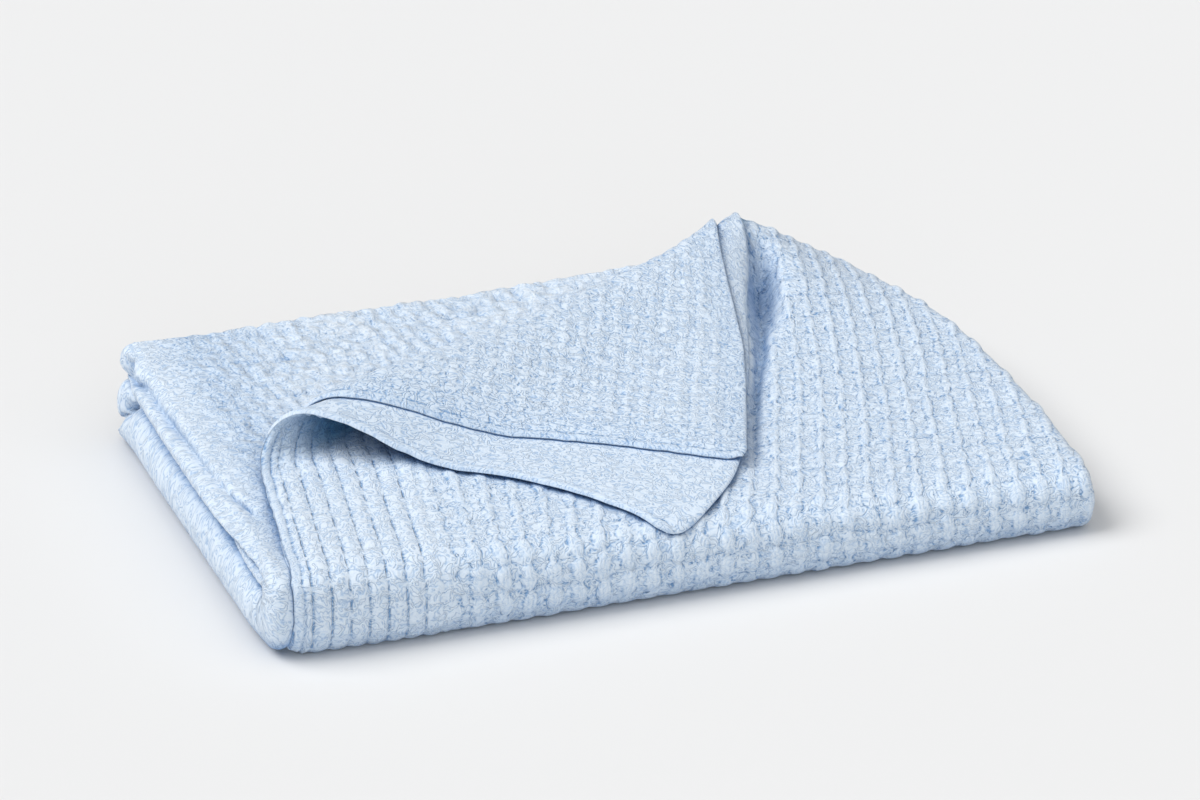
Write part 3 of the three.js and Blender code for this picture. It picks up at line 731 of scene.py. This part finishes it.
# Curled strands are the level lines of a slow noise; on a bead some of them run along it
strand = add("Math.ABSOLUTE", add("Math.SINE", add("Math.MULTIPLY", curl, 16.0)))
strand = add("Math.POWER", strand, 0.8)
loop_place = add("Math.MULTIPLY", add("Math.MULTIPLY_ADD", wander, 0.35, column_at), 15.7)
loop_strand = add("Math.ABSOLUTE", add("Math.SINE", loop_place))
on_bead = add("MapRange.SMOOTHSTEP", lift, 0.45, 0.95)
on_bead = add("Math.MULTIPLY", on_bead, add("Math.MULTIPLY", beaded_here, 0.4))
strand = add("Mix", on_bead, None, strand, loop_strand)

# Each bead is a leaf-shaped loop of several strands, with a thin gap round it, a thin rung of gaps where the
# rows meet and small open pits in the ladders
off_middle = add("Math.SUBTRACT", broken, 0.5)
across_bead = add("Math.MULTIPLY_ADD", off_middle, 0.4, add("Math.ADD", column_at, 0.5 - BEAD_CENTRE))
across_bead = add("Math.ABSOLUTE", add("Math.SUBTRACT", add("Math.FRACT", across_bead), 0.5))
along_bead = add("Math.FRACT", add("Math.MULTIPLY_ADD", add("Math.SUBTRACT", wander, 0.5), 0.4, row_at))
along_bead = add("Math.ABSOLUTE", add("Math.SUBTRACT", along_bead, 0.5))
leaf = add("Math.MULTIPLY_ADD", add("Math.MULTIPLY", along_bead, along_bead), -2.4, 1.0)
off_leaf = add("Math.SUBTRACT", across_bead, add("Math.MULTIPLY", leaf, bead_wide))
outline = add("MapRange.SMOOTHSTEP", add("Math.ABSOLUTE", off_leaf), 0.012, 0.085)
outline = add("Math.MULTIPLY", add("Math.SUBTRACT", 1.0, outline), beaded_here)
outline = add("Math.MULTIPLY", outline, add("MapRange.SMOOTHSTEP", wander, 0.34, 0.58))
off_bead = add("Math.MULTIPLY", add("MapRange.SMOOTHSTEP", off_leaf, -0.05, 0.03), beaded_here)
rung = add("Math.MULTIPLY", add("MapRange.SMOOTHSTEP", along_bead, 0.43, 0.495), off_bead)
rung = add("Math.MULTIPLY", rung, add("MapRange.SMOOTHSTEP", broken, 0.45, 0.6))
pit = add("MapRange.SMOOTHSTEP", add("TexVoronoi", cloth_place, None, PITS), 0.12, 0.34)
pit = add("Math.MULTIPLY", add("Math.SUBTRACT", 1.0, pit), add("Math.MULTIPLY_ADD", off_bead, 0.8, 0.2))
pit = add("Math.MULTIPLY", pit, add("MapRange.SMOOTHSTEP", wander, 0.46, 0.62))
gap = add("Math.MULTIPLY_ADD", outline, 0.8, add("Math.MULTIPLY_ADD", rung, 0.7, pit))
rumple = add("Math.MULTIPLY", add("TexNoise", cloth_place, None, RUMPLE, 0.0), open_run)

# Sharp grooves between the border's ribs, fainter inside the roll, and the sewn rim's slanted stitches
rib_side = add("Math.FRACT", add("Math.MULTIPLY_ADD", off_middle, 0.22, column_at))
rib_side = add("Math.ABSOLUTE", add("Math.SUBTRACT", rib_side, 0.5))
groove = add("Math.MULTIPLY", ribbed_here, add("MapRange.SMOOTHSTEP", broken, 0.36, 0.62))
groove = add("Math.MULTIPLY", add("MapRange.SMOOTHSTEP", rib_side, 0.40, 0.49), groove)
groove = add("Math.MULTIPLY", groove, add("Math.MULTIPLY_ADD", roll_shade_here, -0.75, 1.0))
in_rim = add("Math.SUBTRACT", 1.0, add("MapRange.SMOOTHSTEP", sewn_here, 4.8, 6.2))
stitch = add("Math.MULTIPLY", add("Math.MULTIPLY_ADD", broken, 1.5, stitch_at), 3.1416)
stitch = add("Math.ABSOLUTE", add("Math.SINE", stitch))
past_line = add("Math.SUBTRACT", 1.0, add("MapRange.SMOOTHSTEP", sewn_here, 6.3, 7.6))
stitch_line = add("Math.MULTIPLY", add("MapRange.SMOOTHSTEP", sewn_here, 5.0, 6.2), past_line)
stitch_line = add("Math.MULTIPLY", stitch_line, add("MapRange.SMOOTHSTEP", broken, 0.3, 0.6))
strand = add("Mix", add("Math.MULTIPLY", in_rim, 0.3), None, strand, stitch)

# Fine height, in millimetres
height = add("Math.MULTIPLY_ADD", fibre, 0.3, add("Math.MULTIPLY", strand, 0.34))
height = add("Math.MULTIPLY_ADD", stitch_line, -0.5, height)
height = add("Math.MULTIPLY_ADD", groove, -0.9, height)
height = add("Math.MULTIPLY_ADD", gap, -0.5, height)
height = add("Math.MULTIPLY_ADD", rumple, 5.0, height)
bump = add("Bump", 1.0, 0.001, None, height)

# Colour, with painted light and shade: raised strands and beads painted paler, and painted shade of a deeper
# blue between the beads, in every gap, groove and sunk stitch line, and over the crumpled run
between = add("Math.SUBTRACT", 1.0, add("MapRange.SMOOTHSTEP", lift, 0.0, 0.34))
# Raised beads and strands painted paler, a painted highlight; the fibres' noise is the yarn's own uneven tone
pale = add("Math.MULTIPLY_ADD", lift, 0.10, add("Math.MULTIPLY_ADD", strand, 0.55, 0.2))
pale = add("Math.MULTIPLY_ADD", add("Math.SUBTRACT", fibre, 0.5), 0.5, pale)
# Painted shade between the beads and over the crumpled run, deepest in its low places
pale = add("Math.MULTIPLY_ADD", add("Math.MULTIPLY", between, beaded_here), -0.10, pale)
pale = add("Math.MULTIPLY_ADD", add("Math.MULTIPLY", between, open_run), -0.2, pale)
pale = add("Math.MULTIPLY_ADD", add("Math.MULTIPLY", add("Math.SUBTRACT", lift, 2.9), open_run), 0.09, pale)
# Painted shade in the gaps round beads, rungs and pits, in the ribs' grooves and in the sunk stitch line
pale = add("Math.MULTIPLY_ADD", gap, -0.42, pale)
pale = add("Math.MULTIPLY_ADD", groove, -0.5, add("Math.MULTIPLY_ADD", stitch_line, -0.35, pale))
yarn_blue_and_painted_shading = add("ValToRGB", pale)
ramp = yarn_blue_and_painted_shading.node.color_ramp
ramp.elements[0].position, ramp.elements[1].position = 0.0, 1.0
ramp.elements[0].color, ramp.elements[1].color = linear("#7aa0cc"), linear("#e9f1f9")
ramp.elements.new(0.5).color = linear("#c9daed")

# Painted shade: where ambient occlusion finds the cloth hemmed in, its colour is multiplied toward a deeper
# blue, more on the inner face, less on the sewn rim and least near the pale floor; inside the turned corner's
# roll a darker painted shade is laid over it. Hollows count up to 24 mm across.
HOLLOW = 0.024
open_air = add("AmbientOcclusion", (1, 1, 1, 1), HOLLOW, samples=8).node.outputs["AO"]
hollow_painted_shade = add("Math.SUBTRACT", 1.0, add("MapRange.SMOOTHSTEP", open_air, 0.1, 0.95))
hollow_painted_shade = add("Math.MULTIPLY", hollow_painted_shade, add("Math.MULTIPLY_ADD", in_rim, -0.5, 1.0))
hollow_painted_shade = add("Math.MULTIPLY", hollow_painted_shade, add("Math.MULTIPLY_ADD", low_here, -0.7, 1.0))
hollow_painted_shade = add("Math.MULTIPLY", hollow_painted_shade, add("Math.MULTIPLY_ADD", lining_here, 0.7, 1.0))
# Painted shade: the yarn's colour multiplied toward a deeper blue in the hollows
shade = add("Mix", hollow_painted_shade, None, None, None, None, None, yarn_blue_and_painted_shading, linear("#86acd1"),
            data_type="RGBA", blend_type="MULTIPLY").node.outputs[2]
# Painted shade inside the turned corner's roll: a second, darker blue multiplied in, stronger further along
# the roll
shade = add("Mix", roll_shade_here, None, None, None, None, None, shade, linear("#659cb9"),
            data_type="RGBA", blend_type="MULTIPLY").node.outputs[2]

# Cotton is matt, with the faint pale sheen of its brushed fibres
surface = yarn.node_tree.nodes.new("ShaderNodeBsdfPrincipled")
for name, value in (("Roughness", 0.95), ("Specular IOR Level", 0.1),
                    ("Sheen Weight", 0.2), ("Sheen Roughness", 0.5)):
    surface.inputs[name].default_value = value
yarn.node_tree.links.new(shade, surface.inputs["Base Color"])
yarn.node_tree.links.new(bump, surface.inputs["Normal"])
add("OutputMaterial", surface.outputs[0])
mesh.materials.append(yarn)


# ---------------------------------------------------------------------------
# The setting: a plain pale floor, soft studio light from the upper left, and a
# long lens a little to the left of the stack's front.

# The floor's reach each way, in metres
FAR = 9
floor_mesh = bpy.data.meshes.new("floor")
floor_mesh.from_pydata([(-FAR, -FAR, 0), (FAR, -FAR, 0), (FAR, FAR, 0), (-FAR, FAR, 0)], [], [(0, 1, 2, 3)])
floor = bpy.data.objects.new("floor", floor_mesh)
bpy.context.scene.collection.objects.link(floor)
paper = bpy.data.materials.new("pale paper")
paper.use_nodes = True
paper_face = paper.node_tree.nodes["Principled BSDF"]
paper_face.inputs["Base Color"].default_value = linear("#e4e4e4")
paper_face.inputs["Roughness"].default_value = 1.0
paper_face.inputs["Specular IOR Level"].default_value = 0.0
floor_mesh.materials.append(paper)


def softbox(name, place, power, width, colour=(1, 1, 1)):
    """A far, wide source: a sun whose disc is width degrees across, shining from place to the stack."""
    data = bpy.data.lights.new(name, "SUN")
    data.angle = math.radians(width)
    data.energy = power
    data.color = colour
    light = bpy.data.objects.new(name, data)
    light.rotation_euler = (-Vector(place)).to_track_quat("-Z", "Y").to_euler()
    bpy.context.scene.collection.objects.link(light)


softbox("key", (-1.0, 0.25, 1.4), 2.2, 40)
softbox("top", (0.2, -0.7, 1.5), 1.0, 80)
softbox("front", (-0.35, -1.6, 0.3), 0.58, 40, (0.78, 0.89, 1.0))

world = bpy.data.worlds.new("studio")
world.use_nodes = True
sky = world.node_tree.nodes["Background"]
sky.inputs["Color"].default_value = (1, 1, 1, 1)
sky.inputs["Strength"].default_value = 0.25
bpy.context.scene.world = world
bpy.context.scene.view_settings.view_transform = "Standard"

AZIMUTH, ELEVATION = math.radians(-19.5), math.radians(27.0)
DISTANCE = 5.078
toward_camera = Vector((math.sin(AZIMUTH) * math.cos(ELEVATION),
                        -math.cos(AZIMUTH) * math.cos(ELEVATION), math.sin(ELEVATION)))
right = Vector((math.cos(AZIMUTH), math.sin(AZIMUTH), 0))
up = right.cross(-toward_camera)
camera_data = bpy.data.cameras.new("camera")
camera_data.lens = 250
camera_data.sensor_width = 36
camera_data.clip_end = 60
camera = bpy.data.objects.new("camera", camera_data)
aim = Vector((0.258 - STACK_CENTRE[0] / 1000, 0.152 - STACK_CENTRE[1] / 1000, 0.040))
aim = aim + right * -0.0035 + up * 0.0186
camera.matrix_world = (Matrix.Translation(aim + toward_camera * DISTANCE)
                       @ Matrix((right, up, toward_camera)).transposed().to_4x4())
bpy.context.scene.collection.objects.link(camera)
bpy.context.scene.camera = camera
